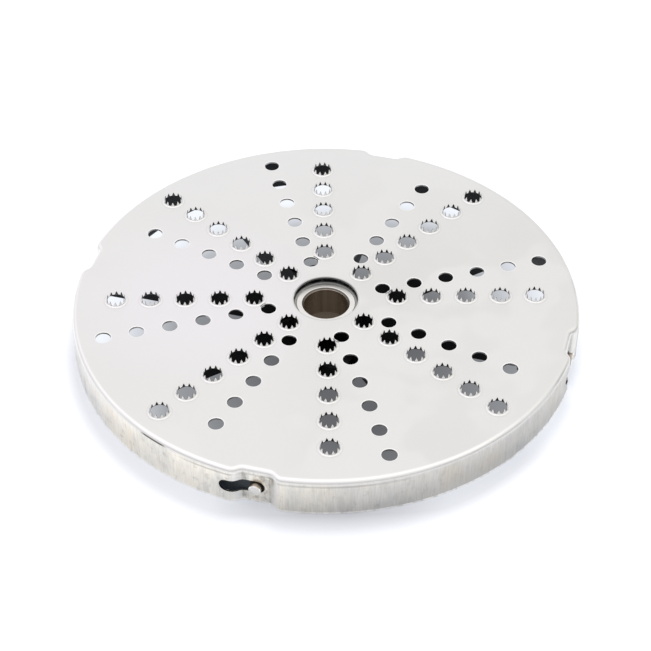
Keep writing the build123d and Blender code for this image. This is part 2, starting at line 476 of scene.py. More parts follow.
# %% Join the pan
pan_parts = [rim]
pan_parts += [(at_height(flat_points, RIM_H), flat_faces, 0.0)]
pan_parts += [(at_height(flat_points, UNDER_Z), flat_faces[:, ::-1], 0.0)]
pan_parts += [(grid.reshape(-1, 3), crown_faces, crown_shade) for grid in toothed]
pan_parts += [(grid.reshape(-1, 3), plain_faces, plain_shade) for grid in plain]
pan_parts += [(centre_grid.reshape(-1, 3), centre_faces, centre_shade)]
pan = make_piece("pressed_pan", *gather(pan_parts))

# %% [markdown]
# ## Bayonet slots
# Each slot is punched through the rim, from a recess's shoulder down its ramp to the floor, where the pin
# sits when the disc is locked. A straight cutter with round ends and a difference modifier cut it
# cleanly through the curved wall.

# %% Cut the slots
SLOT_H = 5.8
SLOT_DROP = 9.0
SLOT_Z = RIM_H - SLOT_DROP
SLOT_HALF_TURN = 3.3
SLOT_RUN = 2 * RECESS_R * np.sin(np.radians(SLOT_HALF_TURN))
SLOT_TURN = -3.0
SLOT_STEPS = 16
CUT_SPARE = 4


def slot_cutter():
    """A race-track outline (y, z) carried along X through the wall, closed by two end faces."""
    half = np.radians(np.linspace(-90, 90, SLOT_STEPS))
    right = np.stack([SLOT_RUN / 2 + SLOT_H / 2 * np.cos(half), SLOT_H / 2 * np.sin(half)], -1)
    track = np.vstack([right, -right])
    ends = (RECESS_R - CUT_SPARE, DISC_R + CUT_SPARE)
    layers = [np.column_stack([np.full(len(track), x), track]) for x in ends]
    quads = ring_faces(2, len(track), flip=True).tolist()
    caps = [list(range(len(track)))[::-1], list(range(len(track), 2 * len(track)))]
    return np.vstack(layers) + np.array([0, 0, SLOT_Z]), quads + caps


def cut_away(piece, name, points, faces):
    """Take a cutter's volume out of a piece, and keep only the result."""
    cutter = make_piece(name, points, faces)
    change = piece.modifiers.new("cut", "BOOLEAN")
    change.operation = "DIFFERENCE"
    change.solver = "EXACT"
    change.object = cutter
    shape = piece.evaluated_get(bpy.context.evaluated_depsgraph_get())
    mesh = bpy.data.meshes.new_from_object(shape)
    piece.modifiers.clear()
    old, piece.data = piece.data, mesh
    bpy.data.meshes.remove(old)
    bpy.data.objects.remove(cutter)
    mesh.name = piece.name


cutter_points, cutter_faces = slot_cutter()
for quarter in QUARTERS:
    place = turn(cutter_points, LOCK_TURN + SLOT_TURN + quarter)
    cut_away(pan, "slot_cutter", place, cutter_faces)
smooth_edges(pan.data)
print("pan with slots has", len(pan.data.polygons), "faces")

# %% [markdown]
# ## The bush
# The driving shaft runs in a turned metal bush. It is a closed profile turned about the axis, with a
# lead-in at both ends of the bore, and a straight slot is cut across its lower end for the shaft's cross
# pin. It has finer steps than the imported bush, so that its rings of light stay round.

# %% Bush
BUSH_R = 12.0
BORE_R = 9.0
BUSH_LOW = 1.0
BUSH_DROP = 2.4
BUSH_TOP = RIM_H - BUSH_DROP
BUSH_STEPS = 128
LEAD_IN = 0.8
DRIVE_W = 6.2
DRIVE_LOW, DRIVE_TOP = -1.0, 6.0
DRIVE_TURN = 112.5


def bush_surface():
    """A closed loop of (radius, height) turned about Z, its corners broken by a quarter of the lead-in."""
    edge = LEAD_IN / 4
    loop = np.array([
        (BUSH_R, BUSH_LOW + edge), (BUSH_R, BUSH_TOP - edge), (BUSH_R - edge, BUSH_TOP),
        (BORE_R + LEAD_IN, BUSH_TOP), (BORE_R, BUSH_TOP - LEAD_IN), (BORE_R, BUSH_LOW + LEAD_IN),
        (BORE_R + LEAD_IN, BUSH_LOW), (BUSH_R - edge, BUSH_LOW), (BUSH_R, BUSH_LOW + edge),
    ])
    points, faces, _ = lathe(loop, BUSH_STEPS)
    return points.reshape(-1, 3), faces.tolist()


def box_cutter(length, width, low, high):
    """Eight corners of a box centred on Z, and its six faces."""
    x, y, z = np.meshgrid([-length / 2, length / 2], [-width / 2, width / 2], [low, high], indexing="ij")
    faces = [[0, 1, 3, 2], [4, 6, 7, 5], [0, 4, 5, 1], [2, 3, 7, 6], [0, 2, 6, 4], [1, 5, 7, 3]]
    return np.stack([x, y, z], -1).reshape(-1, 3), faces


bush = make_piece("turned_bush", *bush_surface())
drive_points, drive_faces = box_cutter(4 * BUSH_R, DRIVE_W, DRIVE_LOW, DRIVE_TOP)
cut_away(bush, "drive_cutter", turn(drive_points, LOCK_TURN + DRIVE_TURN), drive_faces)
smooth_edges(bush.data)

# %% [markdown]
# ## Finishes
# Every finish is a small node tree on object coordinates, so a pattern stays where it is on the metal.
# Helpers keep the trees short. Painted images would do too, but they need unwrapping and blur when seen
# from near.


# %% Finish tools
def finish(name):
    """A new material and its node tree."""
    material = bpy.data.materials.new(name)
    material.use_nodes = True
    return material, material.node_tree


def add(tree, kind, inputs=(), **settings):
    """Add a node, set its options, and set or link its inputs by number or name."""
    node = tree.nodes.new(kind)
    for key, value in settings.items():
        setattr(node, key, value)
    for key, value in dict(inputs).items():
        if isinstance(value, bpy.types.NodeSocket):
            tree.links.new(value, node.inputs[key])
        else:
            node.inputs[key].default_value = value
    return node


def object_place(tree):
    """Object coordinates, in metres."""
    return add(tree, "ShaderNodeTexCoord").outputs["Object"]


def vector(tree, operation, first, second=(0, 0, 0)):
    """One vector step; its first output is a vector and its Value a number."""
    return add(tree, "ShaderNodeVectorMath", {0: first, 1: second}, operation=operation).outputs


def noise(tree, scale, detail=4.0, rough=0.55):
    """Smooth noise, about 0 to 1, on coordinates multiplied by a scale for each axis."""
    stretched = vector(tree, "MULTIPLY", object_place(tree), scale)[0]
    inputs = {"Vector": stretched, "Scale": 1.0, "Detail": detail, "Roughness": rough}
    return add(tree, "ShaderNodeTexNoise", inputs).outputs[0]


def between(tree, value, low, high, start=0.0, end=1.0, smooth=False):
    """Map a value from low..high to start..end, clamped."""
    inputs = {"Value": value, "From Min": low, "From Max": high, "To Min": start, "To Max": end}
    kind = "SMOOTHSTEP" if smooth else "LINEAR"
    return add(tree, "ShaderNodeMapRange", inputs, interpolation_type=kind).outputs[0]


def maths(tree, operation, first, second=0.0):
    """One arithmetic step."""
    return add(tree, "ShaderNodeMath", {0: first, 1: second}, operation=operation).outputs[0]


def product(tree, first, *others):
    """Numbers multiplied, so that a share is full only where all of them are."""
    for other in others:
        first = maths(tree, "MULTIPLY", first, other)
    return first


def blend(tree, share, first, second, mode="MIX"):
    """Mix two colours by a share."""
    node = add(tree, "ShaderNodeMix", {"Factor": share}, data_type="RGBA", blend_type=mode)
    for key, value in ((6, first), (7, second)):
        if isinstance(value, bpy.types.NodeSocket):
            tree.links.new(value, node.inputs[key])
        else:
            node.inputs[key].default_value = (*value, 1.0)
    return node.outputs[2]


def lay(tree, colour, *layers):
    """Mix layers of (share, colour) over a colour, one after the other."""
    for share, layer in layers:
        colour = blend(tree, share, colour, layer)
    return colour


def tint(tree, first, second, share=1.0):
    """A colour multiplied by a second one, by a share."""
    return blend(tree, share, first, second, mode="MULTIPLY")


def ramp(tree, value, stops):
    """A level read from stops of (position, level), joined by straight lines."""
    node = add(tree, "ShaderNodeValToRGB", {0: value})
    elements = node.color_ramp.elements
    for _ in stops[2:]:
        elements.new(0.5)
    for element, (position, level) in zip(elements, stops):
        element.position = position
        element.color = (level, level, level, 1)
    return node.outputs[0]


def dress(material, colour, rough, metallic, height, strength, distance):
    """Give a material's shader a colour, a roughness, a metal share and a small relief from a height."""
    tree = material.node_tree
    shader = tree.nodes["Principled BSDF"]
    relief = add(tree, "ShaderNodeBump", {"Strength": strength, "Distance": distance, "Height": height})
    for name, value in (("Base Color", colour), ("Roughness", rough), ("Normal", relief.outputs[0])):
        tree.links.new(value, shader.inputs[name])
    shader.inputs["Metallic"].default_value = metallic
    return shader


def wear(piece, material):
    """Make a material the only one of a piece."""
    piece.data.materials.clear()
    piece.data.materials.append(material)
    print(piece.name, "wears", material.name)


print("materials before the first finish:", len(bpy.data.materials))

# %% [markdown]
# ## Finding places on the disc
# Marks and worn spots are found by where they are: along an axis, at a distance, at an angle about the
# axis or near a recess. Vertex groups could hold them too, but their edges would follow the mesh.


# %% Place tools
def along(tree, axis):
    """One object coordinate, in metres."""
    return add(tree, "ShaderNodeSeparateXYZ", {0: object_place(tree)}).outputs[axis]


def across(tree):
    """Distance to the left or right of the middle, in metres."""
    return maths(tree, "ABSOLUTE", along(tree, 0))


def from_axis(tree):
    """Distance from the disc's axis, in metres."""
    flat = vector(tree, "MULTIPLY", object_place(tree), (1, 1, 0))[0]
    return vector(tree, "LENGTH", flat)["Value"]


def from_point(tree, point):
    """Distance from a point, in metres."""
    return vector(tree, "DISTANCE", object_place(tree), point)["Value"]


def around_axis(tree):
    """Angle about the disc's axis, in radians."""
    return maths(tree, "ARCTAN2", along(tree, 1), along(tree, 0))


def from_recess(tree):
    """Angle to the middle of the nearest recess, in radians."""
    middle = np.radians(LOCK_TURN + RECESS_TURN)
    return maths(tree, "PINGPONG", maths(tree, "SUBTRACT", around_axis(tree), middle), np.pi / 4)


def window(tree, value, centre, half, soft):
    """One within a half width of a centre, falling to zero over a soft margin."""
    away = maths(tree, "ABSOLUTE", maths(tree, "SUBTRACT", value, centre))
    return between(tree, away, half + soft, half, smooth=True)


print("middle of the first recess at", round(LOCK_TURN + RECESS_TURN, 1), "degrees")

# %% [markdown]
# ## Stainless sheet: the satin top
# The top is a pale satin, clouded a little and with faint smears from handling. Painted light makes it
# lighter to the left and at the back, and one patch at the left has a painted cool reflection. Layers of
# wide noise and soft fades give this. A single colour would look like plastic.

# %% Satin top
SATIN_CLOUDS = (18, 18, 18), 3.0
SATIN = (0.793, 0.790, 0.776), (0.825, 0.823, 0.812)
SMEARS, SMEAR_RANGE, SMEARED = ((38, 38, 38), 2.0, 0.4), (0.50, 0.60, 0.0, 0.55), (0.872, 0.870, 0.862)
# Painted light: lighter left and back, and a painted cool reflection patch at the left
LEFT_FADE, LEFT_LIGHT = (0.02, -0.03, 0.0, 0.75), (0.858, 0.856, 0.845)
BACK_FADE, BACK_LIGHT = (0.03, 0.095, 0.0, 0.8), (0.862, 0.865, 0.865)
COOL_PATCH, COOL_FADE, COOL_REFLECTION = (-0.052, 0.002, 0.017), (0.06, 0.015), (0.885, 0.868, 0.892)


def top_colour(tree):
    """Clouded satin, smears, then painted light at the left and back and a painted cool reflection patch.
    """
    satin = blend(tree, between(tree, noise(tree, *SATIN_CLOUDS), 0.35, 0.65), *SATIN)
    return lay(
        tree, satin,
        (between(tree, noise(tree, *SMEARS), *SMEAR_RANGE, smooth=True), SMEARED),
        (between(tree, along(tree, 0), *LEFT_FADE, smooth=True), LEFT_LIGHT),
        (between(tree, along(tree, 1), *BACK_FADE), BACK_LIGHT),
        (between(tree, from_point(tree, COOL_PATCH), *COOL_FADE, smooth=True), COOL_REFLECTION),
    )


print("satin from", SATIN[0], "to", SATIN[1])

# %% [markdown]
# ## Stainless sheet: the drawn wall
# The rim was drawn through a die, so it carries fine upright lines, warm and cool clouds, stains, drags
# and small smudges. A band of painted shade runs below the bend in front. The recesses were pressed in
# later: their ramps get a painted highlight, their floor corners painted shade, and their floors are rubbed
# dark. The cut foot is bare metal, brightened by a painted highlight. A painted level and a painted warm
# tint by place, for the room that the wall mirrors, make the wall lightest at the front left and darker
# to the right and at the back, as in the photograph.

# %% Drawn wall
DRAWN_LINES = (1700, 1700, 110), 4.0, 0.6
CLOUDS = (85, 85, 55), 4.0, 0.6
STAINS = (45, 45, 60), 5.0, 0.65
DRAGS = (170, 170, 40), 4.0, 0.6
SMUDGES = (420, 420, 300), 5.0, 0.65
WALL_SPAN = -0.1, 0.1
# Painted light and shade: levels by place across the wall, and darker towards the back
WALL_LIGHT_LEVELS = (
    (0.0, 0.86), (0.12, 0.97), (0.2, 1.0), (0.36, 1.0),
    (0.47, 0.83), (0.58, 0.73), (0.74, 0.66), (1.0, 0.62),
)
WALL_BACK_SHADE = -0.035, 0.03, 1.0, 0.74
DRAWN = (1.0, 0.97, 0.91), (0.84, 0.82, 0.772)
# Painted reflection: a warm tint on the wall at the front left
WARM_WINDOW, WARM_REFLECTION = (-0.042, 0.03, 0.02), (1.0, 0.985, 0.945)
COOL_CLOUD, WARM_CLOUD = (0.90, 0.915, 0.935), (1.0, 0.975, 0.935)
# Painted shade: a dark band below the bend in front
CREASE_Z, CREASE_TURN = (0.0143, 0.0002, 0.0006), (np.radians(-98.0), 0.34, 0.16)
CREASE_SHADE = (0.42, 0.41, 0.385)
# Bare cut metal at the foot, brightened further by a painted highlight
FOOT_FADE, FOOT_CUT_AND_HIGHLIGHT = (0.0009, 0.0007), (1.0, 0.98, 0.94)

# Each mark has a noise, the range in which it grows to its full share, and a colour
WALL_MARKS = (
    (STAINS, (0.54, 0.70, 0.0, 0.4), (0.56, 0.55, 0.53)),
    (DRAGS, (0.54, 0.66, 0.0, 0.45), (0.52, 0.515, 0.49)),
    (SMUDGES, (0.55, 0.74, 0.0, 0.55), (0.42, 0.41, 0.38)),
)

# Angles from the middle of a recess, in radians
# Painted highlight on the ramps and painted shade at the floor corners; the floor patches are rubbed dark
RAMP_WINDOW, RAMP_SHARE, RAMP_HIGHLIGHT = (0.074, 0.006, 0.012), 0.55, (0.97, 0.96, 0.93)
CORNER_WINDOW, CORNER_RANGE = (0.052, 0.001, 0.005), (0.40, 0.60, 0.1, 0.75)
RUBBED_FADE, RUBBED_RANGE, SHADE_AND_RUB = (0.062, 0.042), (0.50, 0.68, 0.0, 0.6), (0.34, 0.33, 0.30)


def press_marks(tree, colour):
    """Painted ramp highlight, painted shade at the corners of a recess floor, rubbed dark patches between.
    """
    away = from_recess(tree)
    smudge = noise(tree, *SMUDGES)
    ramp_light = product(tree, window(tree, away, *RAMP_WINDOW), RAMP_SHARE)
    corner_shade = product(tree, window(tree, away, *CORNER_WINDOW), between(tree, smudge, *CORNER_RANGE))
    patches = product(tree, between(tree, away, *RUBBED_FADE), between(tree, smudge, *RUBBED_RANGE))
    shade_and_rub = maths(tree, "MAXIMUM", corner_shade, patches)
    return lay(tree, colour, (ramp_light, RAMP_HIGHLIGHT), (shade_and_rub, SHADE_AND_RUB))


def crease_shade_share(tree, height):
    """Share of the painted crease shade: within a band of heights and of angles, broken up by the stains.
    """
    broken = between(tree, noise(tree, *STAINS), 0.35, 0.6, 0.3, 0.75)
    band = window(tree, height, *CREASE_Z)
    return product(tree, band, window(tree, around_axis(tree), *CREASE_TURN), broken)


def wall_colour(tree, height):
    """Painted level and warm tint by place, upright lines, clouds, marks, crease shade, recesses and foot.
    """
    level = ramp(tree, between(tree, along(tree, 0), *WALL_SPAN), WALL_LIGHT_LEVELS)
    level = tint(tree, level, between(tree, along(tree, 1), *WALL_BACK_SHADE))
    lines = blend(tree, between(tree, noise(tree, *DRAWN_LINES), 0.32, 0.68), *DRAWN)
    colour = tint(tree, level, lines)
    colour = tint(tree, colour, WARM_REFLECTION, window(tree, along(tree, 0), *WARM_WINDOW))
    cloud = noise(tree, *CLOUDS)
    colour = tint(tree, colour, COOL_CLOUD, between(tree, cloud, 0.52, 0.62))
    colour = tint(tree, colour, WARM_CLOUD, between(tree, cloud, 0.46, 0.38))
    marks = [(between(tree, noise(tree, *grain), *reach), shade) for grain, reach, shade in WALL_MARKS]
    colour = press_marks(tree, lay(tree, colour, *marks, (crease_shade_share(tree, height), CREASE_SHADE)))
    ragged = between(tree, noise(tree, *SMUDGES), 0.60, 0.44, 0.4, 1.0)
    foot = product(tree, between(tree, height, *FOOT_FADE, smooth=True), ragged)
    return blend(tree, foot, colour, FOOT_CUT_AND_HIGHLIGHT)


print("wall marks:", len(WALL_MARKS), "kinds")

# %% [markdown]
# ## Stainless sheet: bend, slots and the whole finish
# The bend gets a painted highlight, less at the right, with one painted dark reflection line at the front
# left and dull drawn lines that run along it, most on the right. The slots get painted shade on the cut
# edge by the shoulder. The shade of each point adds painted highlights and painted shade, and a mask by
# height tells the wall from the top. One finish keeps the change from top to wall soft.

# %% Stainless finish
# Painted reflection: a thin dark line on the bend at the front left
REFLECTION_TURN, REFLECTION_Z = (np.radians(-130.45), 0.04, 0.03), (0.01558, 0.00021, 0.00014)
DARK_REFLECTION = (0.06, 0.055, 0.05)
BEND_LINES = (60, 60, 2600), 3.0, 0.6
BEND_LINES_X, BEND_LINES_Z = (0.05, 0.085, 0.12, 0.65), (0.0158, 0.0008, 0.0004)
BEND_DULL = (0.60, 0.60, 0.59)
# Painted shade on the cut edge at the shoulder end of each slot
SLOT_END_R, SLOT_END_TURN, SLOT_END_Z = (0.10236, 0.10222), (0.12, 0.022, 0.004), (0.008, 0.0031, 0.0002)
SLOT_END_SHADE = (0.04, 0.04, 0.04)
DULL_X, DULL_R = (0.055, 0.085, 0.0, 0.7), (0.0975, 0.0985)
# Painted highlight and painted shade, laid by the pan's own shade attribute
PAINTED_HIGHLIGHT, PAINTED_SHADE = (0.99, 0.985, 0.975), (0.06, 0.06, 0.06)
WALL_FADE = 0.0162, 0.0146
BRUSHED = (500, 500, 60), 4.0, 0.6
WALL_ROUGH, TOP_ROUGH = (0.35, 0.65, 0.28, 0.42), (0.3, 0.7, 0.30, 0.36)
BRUSH_RELIEF = 0.08, 0.0001


def dark_reflection_share(tree, height):
    """Share of the painted dark reflection line on the bend: a window of angles times one of heights."""
    return product(tree, window(tree, around_axis(tree), *REFLECTION_TURN), window(tree, height, *REFLECTION_Z))


def bend_lines_share(tree, height):
    """Share of dull drawn lines that run along the bend, strongest on the right."""
    right, band = between(tree, along(tree, 0), *BEND_LINES_X), window(tree, height, *BEND_LINES_Z)
    return product(tree, right, band, between(tree, noise(tree, *BEND_LINES), 0.42, 0.62))


def slot_end_shade_share(tree, height):
    """Share of painted shade on a slot's cut edge by the shoulder, just inside the wall's outer face."""
    edge, band = between(tree, from_axis(tree), *SLOT_END_R), window(tree, height, *SLOT_END_Z)
    return product(tree, edge, band, window(tree, from_recess(tree), *SLOT_END_TURN))


def highlight_share(tree, shade):
    """Share of painted highlight: the pan's own shade, less on the bend at the right."""
    dimmed = product(tree, between(tree, along(tree, 0), *DULL_X), between(tree, from_axis(tree), *DULL_R))
    return product(tree, between(tree, shade, 0.0, 1.0), maths(tree, "SUBTRACT", 1.0, dimmed))


def stainless():
    """Satin top, streaked wall, painted highlight and painted shade by the pan's own shade."""
    material, tree = finish("satin_stainless")
    height = along(tree, 2)
    wall = between(tree, height, *WALL_FADE, smooth=True)
    colour = blend(tree, wall, top_colour(tree), wall_colour(tree, height))
    shade = add(tree, "ShaderNodeAttribute", attribute_name="shade").outputs["Fac"]
    colour = lay(
        tree, colour,
        (dark_reflection_share(tree, height), DARK_REFLECTION),
        (highlight_share(tree, shade), PAINTED_HIGHLIGHT),
        (bend_lines_share(tree, height), BEND_DULL),
        # painted shade where the pan's shade is below zero
        (between(tree, shade, 0.0, -1.0), PAINTED_SHADE),
        (slot_end_shade_share(tree, height), SLOT_END_SHADE),
    )
    brushed = noise(tree, *BRUSHED)
    rough_wall, rough_top = between(tree, brushed, *WALL_ROUGH), between(tree, brushed, *TOP_ROUGH)
    rough = add(tree, "ShaderNodeMix", {0: wall, 2: rough_top, 3: rough_wall}).outputs[0]
    dress(material, colour, rough, 1.0, brushed, *BRUSH_RELIEF)
    return material


wear(pan, stainless())

# %% [markdown]
# ## The black hub wheel
# The wheel is plain moulded plastic, dusty and scuffed where it was handled. Round the bush it is worn
# grey, with a pale lip at the very edge, and the outer face of its ring catches a little light in the
# slots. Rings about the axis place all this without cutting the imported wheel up.

# %% Black plastic
GRAIN, GRAIN_RELIEF = ((900, 900, 900), 2.0), (0.2, 0.00008)
DUST = (420, 420, 420), 5.0, 0.7
HUB_BLACK, DUSTY = (0.010, 0.0105, 0.011), (0.08, 0.08, 0.08)
WORN_R, WORN = (0.0158, 0.0150), (0.20, 0.215, 0.21)
LIP_R, LIP = (0.0133, 0.0124, 0.0, 0.8), (0.40, 0.395, 0.38)
RING_FACE_R, RING_FACE = (0.0975, 0.0984), (0.040, 0.048, 0.055)
HUB_ROUGH = 0.3, 0.7, 0.38, 0.55
HUB_GLOSS = 0.20


def black_plastic():
    """Near-black plastic with a fine grain and dust, worn round the bush and lighter on its ring's face."""
    material, tree = finish("black_moulding")
    dust, radius = noise(tree, *DUST), from_axis(tree)
    worn = product(tree, between(tree, radius, *WORN_R), between(tree, dust, 0.48, 0.66, 0.0, 0.75))
    colour = lay(
        tree, HUB_BLACK,
        (between(tree, dust, 0.62, 0.80, 0.0, 0.3), DUSTY),
        (worn, WORN),
        (between(tree, radius, *LIP_R, smooth=True), LIP),
        (between(tree, radius, *RING_FACE_R), RING_FACE),
    )
    rough = between(tree, dust, *HUB_ROUGH)
    shader = dress(material, colour, rough, 0.0, noise(tree, *GRAIN), *GRAIN_RELIEF)
    shader.inputs["Specular IOR Level"].default_value = HUB_GLOSS
    return material


wear(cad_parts["hub_wheel"], black_plastic())

# %% [markdown]
# ## The turned bush
# The bush is bright on its face, with painted shade at the back, and a dull brown in the bore, with
# painted shade at its sides and fine tool rings. Its lead-in has painted shade, with a painted highlight
# line where it meets the face. Bands of radius tell these apart.

# %% Bush metal
BUSH_PATCHES, BORE_SHIMMER = ((120, 120, 90), 4.0), ((260, 260, 8), 3.0)
BUSH_FACE = (0.87, 0.855, 0.83), (0.68, 0.655, 0.62)
# Painted shade on the back of the face, the bore's sides and the lead-in; painted highlight at its corner
FACE_BACK, FACE_BACK_SHADE = (0.003, 0.0115, 0.0, 0.55), (0.38, 0.37, 0.35)
BORE = (0.52, 0.46, 0.395), (0.82, 0.735, 0.645)
BORE_SIDES, BORE_SIDE_SHADE = (0.003, 0.0088, 0.0, 0.6), (0.24, 0.21, 0.18)
BORE_FADE = 0.00975, 0.0096
LEAD_IN_R, LEAD_IN_SHADE = (0.0094, 0.00025, 0.0001), (0.16, 0.145, 0.125)
CORNER_R, CORNER_HIGHLIGHT = (0.0098, 0.00012, 0.00006), (0.97, 0.96, 0.94)
BUSH_ROUGH = 0.3, 0.7, 0.24, 0.36
TOOL_RINGS, RING_RELIEF = 22000.0, (0.1, 0.00004)


def bush_metal():
    """Bright face, shimmering brown bore, painted shade and highlight; rings are a sine of the radius."""
    material, tree = finish("turned_bush_metal")
    patch, radius = noise(tree, *BUSH_PATCHES), from_axis(tree)
    face = blend(tree, between(tree, patch, 0.35, 0.7, 0.0, 0.3), *BUSH_FACE)
    face = blend(tree, between(tree, along(tree, 1), *FACE_BACK), face, FACE_BACK_SHADE)
    bore = blend(tree, between(tree, noise(tree, *BORE_SHIMMER), 0.35, 0.65), *BORE)
    bore = blend(tree, between(tree, across(tree), *BORE_SIDES), bore, BORE_SIDE_SHADE)
    colour = lay(
        tree, face,
        (between(tree, radius, *BORE_FADE), bore),
        (window(tree, radius, *LEAD_IN_R), LEAD_IN_SHADE),
        (window(tree, radius, *CORNER_R), CORNER_HIGHLIGHT),
    )
    rings = maths(tree, "SINE", product(tree, radius, TOOL_RINGS))
    dress(material, colour, between(tree, patch, *BUSH_ROUGH), 1.0, rings, *RING_RELIEF)
    return material


wear(bush, bush_metal())

# %% [markdown]
# ## The pins
# The pins are turned steel under a thin film, so they are part metal and part matt. The end is bright, its
# chamfer carries a painted highlight, and the barrel turns brown from the film and darkens with painted
# shade towards the slot. Distance from the disc's axis runs along every pin, so one finish serves all four.

# %% Pin steel
PIN_PATCHES = (330, 330, 330), 4.0
PIN_FACE = (0.80, 0.79, 0.765), (0.66, 0.645, 0.61)
# Brown film on the barrel, darkened by painted shade towards the slot; painted highlight on the chamfer
BARREL_R, BARREL_FILM_AND_SHADE = (0.0995, 0.1013), ((0.10, 0.085, 0.07), (0.55, 0.49, 0.42))
CHAMFER_R, CHAMFER_HIGHLIGHT = (0.1014, 0.1017), (1.0, 0.99, 0.97)
PIN_END_R = 0.10192, 0.10198
PIN_ROUGH = 0.3, 0.7, 0.26, 0.38
PIN_METAL = 0.85
PIN_GRAIN, PIN_RELIEF = ((1500, 1500, 1500), 2.0), (0.1, 0.00005)


def pin_steel():
    """By distance from axis: brown barrel with painted shade, painted chamfer highlight, patchy end face.
    """
    material, tree = finish("turned_pin_steel")
    patch, radius = noise(tree, *PIN_PATCHES), from_axis(tree)
    face = blend(tree, between(tree, patch, 0.4, 0.7), *PIN_FACE)
    shaded_barrel = blend(tree, between(tree, radius, *BARREL_R), *BARREL_FILM_AND_SHADE)
    chamfer, end = between(tree, radius, *CHAMFER_R), between(tree, radius, *PIN_END_R)
    colour = lay(tree, shaded_barrel, (chamfer, CHAMFER_HIGHLIGHT), (end, face))
    rough = between(tree, patch, *PIN_ROUGH)
    dress(material, colour, rough, PIN_METAL, noise(tree, *PIN_GRAIN), *PIN_RELIEF)
    return material


pin_finish = pin_steel()
for name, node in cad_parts.items():
    if name.startswith("locking_pin"):
        wear(node, pin_finish)

# %% [markdown]
# ## What rides on what
# The pan stands on the table and the hub turns in it, so the new pan rides on the body pan and the new
# bush on the body hub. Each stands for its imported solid.

# %% Riding
for piece, node, body, slot_name in (
    (pan, "shredding_plate", "pan", "stainless_plate"),
    (bush, "hub_bush", "hub", "bush_metal"),
):
    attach(piece, body)
    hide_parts(node)
    print(piece.name, "rides on", body)

# %% [markdown]
# ## Camera
# The photograph looks down on the disc from 42 degrees with a long lens. The aim point and distance come
# from fitting a pinhole camera to the hole pattern, which is surer than moving a camera by eye.

# %% Camera
VIEW_TURN = -1.0
VIEW_RISE = 41.974
CAMERA_DISTANCE = 782.6
CAMERA_SHIFT = (-0.14, -11.04)
LENS = 106.77
SENSOR = 36.0


def look():
    """Camera axes from its turn and rise, and its place: distance back, then shifts right and up."""
    rise, swing = np.radians(VIEW_RISE), np.radians(VIEW_TURN)
    back = np.array([np.sin(swing) * np.cos(rise), -np.cos(swing) * np.cos(rise), np.sin(rise)])
    right = np.array([np.cos(swing), np.sin(swing), 0.0])
    up = np.cross(back, right)
    shifted = CAMERA_DISTANCE * back + CAMERA_SHIFT[0] * right + CAMERA_SHIFT[1] * up
    return np.column_stack([right, up, back]), (shifted + np.array([0, 0, RIM_H])) * MM


axes, camera_place = look()
camera_data = bpy.data.cameras.new("camera")
camera_data.lens = LENS
camera_data.sensor_width = SENSOR
camera = bpy.data.objects.new("camera", camera_data)
bpy.context.scene.collection.objects.link(camera)
camera.matrix_world = Matrix.Translation(Vector(camera_place)) @ Matrix(axes.tolist()).to_4x4()
bpy.context.scene.camera = camera
print("camera at", np.round(camera_place, 3))

# %% [markdown]
# ## Floor
# The disc stands on a white table. The table is lit and takes the shadow, and it also glows a little to
# the camera so that it reads as white paper. Close to the rim the glow is dimmed as a painted shadow, most
# in front. Under the pan it falls off, because little light gets there, least in front of the middle. A
# brighter lamp would whiten the paper too, but it would wash out the metal.

# %% Floor
FLOOR_HALF = 3.0
PAPER, PAPER_BENEATH, PAPER_BOUNCE = (0.58, 0.548, 0.512), (0.03, 0.03, 0.03), (0.85, 0.85, 0.85, 1)
PAPER_GLOW, PAPER_SHADE = (0.46, 0.515, 0.60), (0.105, 0.14, 0.205)
BENEATH_R = 0.099, 0.0975
SHADE_CENTRE = (0.012, -0.030, 0.0)
SHADE_REACH = 0.12
UNDER_PAN = (
    (0.0, 0.13), (0.25, 0.13), (0.46, 0.19), (0.62, 0.28),
    (0.75, 0.38), (0.83, 0.52), (0.9, 0.80), (0.98, 0.97),
)
UNDER_TINT = (0.955, 0.99, 1.055)
UNDER_BORE_R, UNDER_BORE = (0.022, 0.016), (0.074, 0.057, 0.042)
LIT = (1.0, 1.0, 1.0)
LEAK_FRONT, LEAK_ACROSS = (0.0, -0.03, 0.0, 0.09), (0.02, 0.06)
SIDE_BACK, SIDE_LEFT, SIDE_ACROSS = (-0.02, 0.015), (0.0, -0.02), (0.058, 0.092, 0.0, 0.8)
# Painted shadow: the table's glow dims close to the rim, most in front
CONTACT_CENTRE = (-0.0005, -0.0092, 0.0)
CONTACT_SPAN = 0.0935, 0.109
CONTACT = ((0.0, 0.0), (0.17, 0.28), (0.53, 0.72), (1.0, 1.0))
CONTACT_ACROSS, CONTACT_RIGHT = (0.008, 0.045, 0.0, 0.68), (0.040, 0.086, 0.0, 0.92)


def under_pan_glow(tree):
    """Light left under the pan: a level by distance, leaks from front and sides, brown by the bore."""
    level = ramp(tree, between(tree, from_point(tree, SHADE_CENTRE), 0.0, SHADE_REACH), UNDER_PAN)
    aside = across(tree)
    leak = product(tree, between(tree, along(tree, 1), *LEAK_FRONT), between(tree, aside, *LEAK_ACROSS))
    back, left = between(tree, along(tree, 1), *SIDE_BACK), between(tree, along(tree, 0), *SIDE_LEFT)
    sides = product(tree, maths(tree, "MAXIMUM", back, left), between(tree, aside, *SIDE_ACROSS))
    level = blend(tree, maths(tree, "MAXIMUM", leak, sides), level, LIT)
    level = tint(tree, level, UNDER_TINT)
    return blend(tree, between(tree, from_axis(tree), *UNDER_BORE_R), level, UNDER_BORE)


